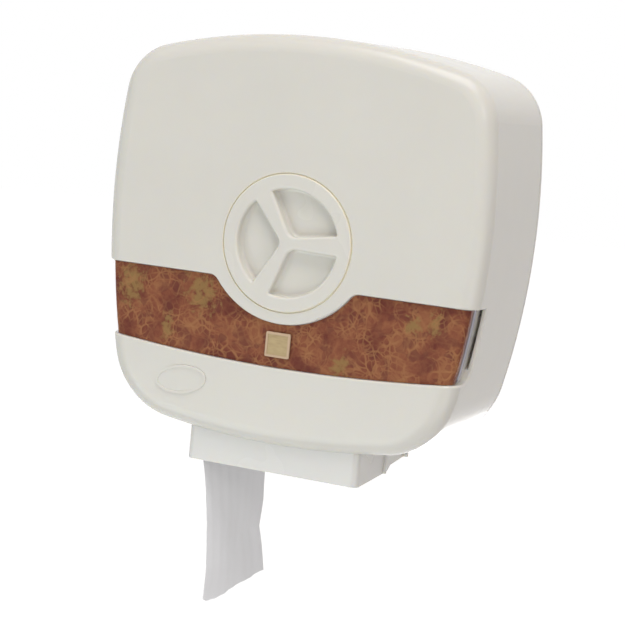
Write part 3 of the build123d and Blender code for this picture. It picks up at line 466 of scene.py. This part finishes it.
def warped(tree, where, scale, detail, reach):
    """Object coordinates pushed about by a noise, by up to half the reach."""
    push = tree.nodes.new("ShaderNodeTexNoise")
    push.inputs["Scale"].default_value = scale
    push.inputs["Detail"].default_value = detail
    tree.links.new(where, push.inputs["Vector"])
    middle = tree.nodes.new("ShaderNodeVectorMath")
    middle.operation = "SUBTRACT"
    middle.inputs[1].default_value = (0.5, 0.5, 0.5)
    tree.links.new(push.outputs["Color"], middle.inputs[0])
    add = tree.nodes.new("ShaderNodeVectorMath")
    add.operation = "MULTIPLY_ADD"
    add.inputs[1].default_value = (reach, reach, reach)
    tree.links.new(middle.outputs[0], add.inputs[0])
    tree.links.new(where, add.inputs[2])
    return add.outputs[0]


def cells(tree, where, scale, output, feature="F1"):
    """A cell pattern: the tone of each cell, or the distance to its border."""
    node = tree.nodes.new("ShaderNodeTexVoronoi")
    node.feature = feature
    node.inputs["Scale"].default_value = scale
    tree.links.new(where, node.inputs["Vector"])
    return node.outputs[output]


def framed(tree, where, middle, size):
    """Object coordinates counted from a middle, in sizes."""
    node = tree.nodes.new("ShaderNodeMapping")
    node.vector_type = "TEXTURE"
    node.inputs["Location"].default_value = middle
    node.inputs["Scale"].default_value = size
    tree.links.new(where, node.inputs["Vector"])
    return node.outputs["Vector"]


def patch(tree, where, middle, size):
    """A soft spot on the front that is 1 in its middle and fades to 0 at its size."""
    middle = (middle[0], PRINT_FRONT, middle[1])
    size = (size[0], PATCH_DEPTH, size[1])
    away = reach_of(tree, framed(tree, where, middle, size))
    return ramp(tree, away, (0.2, grey(1)), (1, grey(0)))


def parts(tree, where):
    """The three coordinates, each on its own."""
    node = tree.nodes.new("ShaderNodeSeparateXYZ")
    tree.links.new(where, node.inputs[0])
    return node.outputs


marble, marble_tree, marble_shader, marble_place = finish("brown_marble")
drift = warped(marble_tree, marble_place, 38, 2, 0.014)
curl = warped(marble_tree, drift, 120, 1, 0.0030)
stone = ramp(marble_tree, noise(marble_tree, drift, 52, 5, 0.65),
             (0.38, (0.134, 0.033, 0.021)), (0.46, (0.184, 0.053, 0.029)),
             (0.54, (0.228, 0.074, 0.037)), (0.64, (0.268, 0.100, 0.046)))
plum_share = ramp(marble_tree, cells(marble_tree, curl, 150, "Color"),
                  (0.55, grey(0)), (0.80, grey(0.55)))
stone = mixed(marble_tree, plum_share, stone, PLUM)

ragged = noise(marble_tree, drift, 260, 4, 0.6)
gold = None
for middle, size in GOLD_PATCHES:
    spot = patch(marble_tree, marble_place, middle, size)
    gold = spot if gold is None else joined(marble_tree, "MAXIMUM", gold, spot)
gold = joined(marble_tree, "ADD", joined(marble_tree, "MULTIPLY", gold, 0.4), ragged)
gold_share = ramp(marble_tree, gold, (0.72, grey(0)), (0.90, grey(0.85)))
stone = mixed(marble_tree, gold_share, stone, GOLD)

breaks = ramp(marble_tree, noise(marble_tree, marble_place, 70, 3),
              (0.42, grey(0.15)), (0.58, grey(1)))
for scale, width, weight in ((110, 0.085, 0.52), (210, 0.13, 0.40)):
    border = cells(marble_tree, curl, scale, "Distance", "DISTANCE_TO_EDGE")
    vein = ramp(marble_tree, border, (width * 0.4, grey(1)), (width, grey(0)))
    vein = joined(marble_tree, "MULTIPLY", joined(marble_tree, "MULTIPLY", vein, breaks), weight)
    stone = mixed(marble_tree, vein, stone, VEIN)

# Both ends of the sheet return along the cover's sides, and past the print they carry painted
# light and shade: first a dark painted shadow for the gap at the print's end, then a lilac painted
# reflection of the clear lens edge, then painted shade of the gap at the edge of the sheet.
round_corner = joined(marble_tree, "SUBTRACT", parts(marble_tree, marble_place)["Y"], PRINT_FRONT)
round_corner = joined(marble_tree, "DIVIDE", round_corner, PRINT_RETURN)
painted_end_band = ramp(marble_tree, round_corner, (0.72, PAINTED_GAP_SHADOW), (0.78, PAINTED_LENS_EDGE_REFLECTION),
              (0.92, PAINTED_LENS_EDGE_REFLECTION), (0.96, PAINTED_GAP_SHADE))
past_print = ramp(marble_tree, round_corner, (0.50, grey(0)), (0.55, grey(1)))
stone = mixed(marble_tree, past_print, stone, painted_end_band)
marble_tree.links.new(stone, marble_shader.inputs["Base Color"])
marble_shader.inputs["Roughness"].default_value = 0.6
marble_shader.inputs["Specular IOR Level"].default_value = 0.15
dress(marble, "decor_panel")


# Window lens
# A clear moulding over the decor, polished on the outside and snapped into the cover. Straight
# on it lets everything through, and at a glancing angle it mirrors the room.
clear, clear_tree, clear_shader, clear_place = finish("clear_window")
clear_shader.inputs["Base Color"].default_value = (0.74, 0.73, 0.82, 1)
clear_shader.inputs["Metallic"].default_value = 1
clear_tree.links.new(spread(clear_tree, noise(clear_tree, clear_place, 40, 3), 0.02, 0.06),
                     clear_shader.inputs["Roughness"])
glance = clear_tree.nodes.new("ShaderNodeLayerWeight")
glance.inputs["Blend"].default_value = 0.5
glance_rise = joined(clear_tree, "POWER", glance.outputs["Facing"], 6.0)
clear_tree.links.new(joined(clear_tree, "MULTIPLY", glance_rise, 0.9),
                     clear_shader.inputs["Alpha"])
dress(clear, "window_lens")


# Square tile
# A small beige plastic tile with a raised, slightly pinker border, set into the window under the
# knob. It is left bare.
TILE_MIDDLE, TILE_FIELD = (0, 0, -0.070), (0.0074, 1, 0.0069)
tile_beige, tile_tree, tile_shader, tile_place = finish("tile_beige")
tile_sides = parts(tile_tree, framed(tile_tree, tile_place, TILE_MIDDLE, TILE_FIELD))
tile_out = joined(tile_tree, "MAXIMUM", joined(tile_tree, "ABSOLUTE", tile_sides["X"]),
                  joined(tile_tree, "ABSOLUTE", tile_sides["Z"]))
# The field ends at 1, which is also where a ramp ends, so the way out from its middle is halved.
tile_border = ramp(tile_tree, joined(tile_tree, "MULTIPLY", tile_out, 0.5),
                   (0.47, grey(0)), (0.52, grey(1)))
tile_grain = noise(tile_tree, tile_place, 700, 3, 0.6, (0.25, 1, 1))
tile_field = ramp(tile_tree, tile_grain,
                  (0.3, (0.365, 0.260, 0.118)), (0.7, (0.435, 0.320, 0.155)))
tile_tree.links.new(mixed(tile_tree, tile_border, tile_field, (0.49, 0.345, 0.215)),
                    tile_shader.inputs["Base Color"])
tile_shader.inputs["Roughness"].default_value = 0.35
bump(tile_tree, tile_shader, tile_grain, 0.15, 0.00003)
dress(tile_beige, "square_tile")
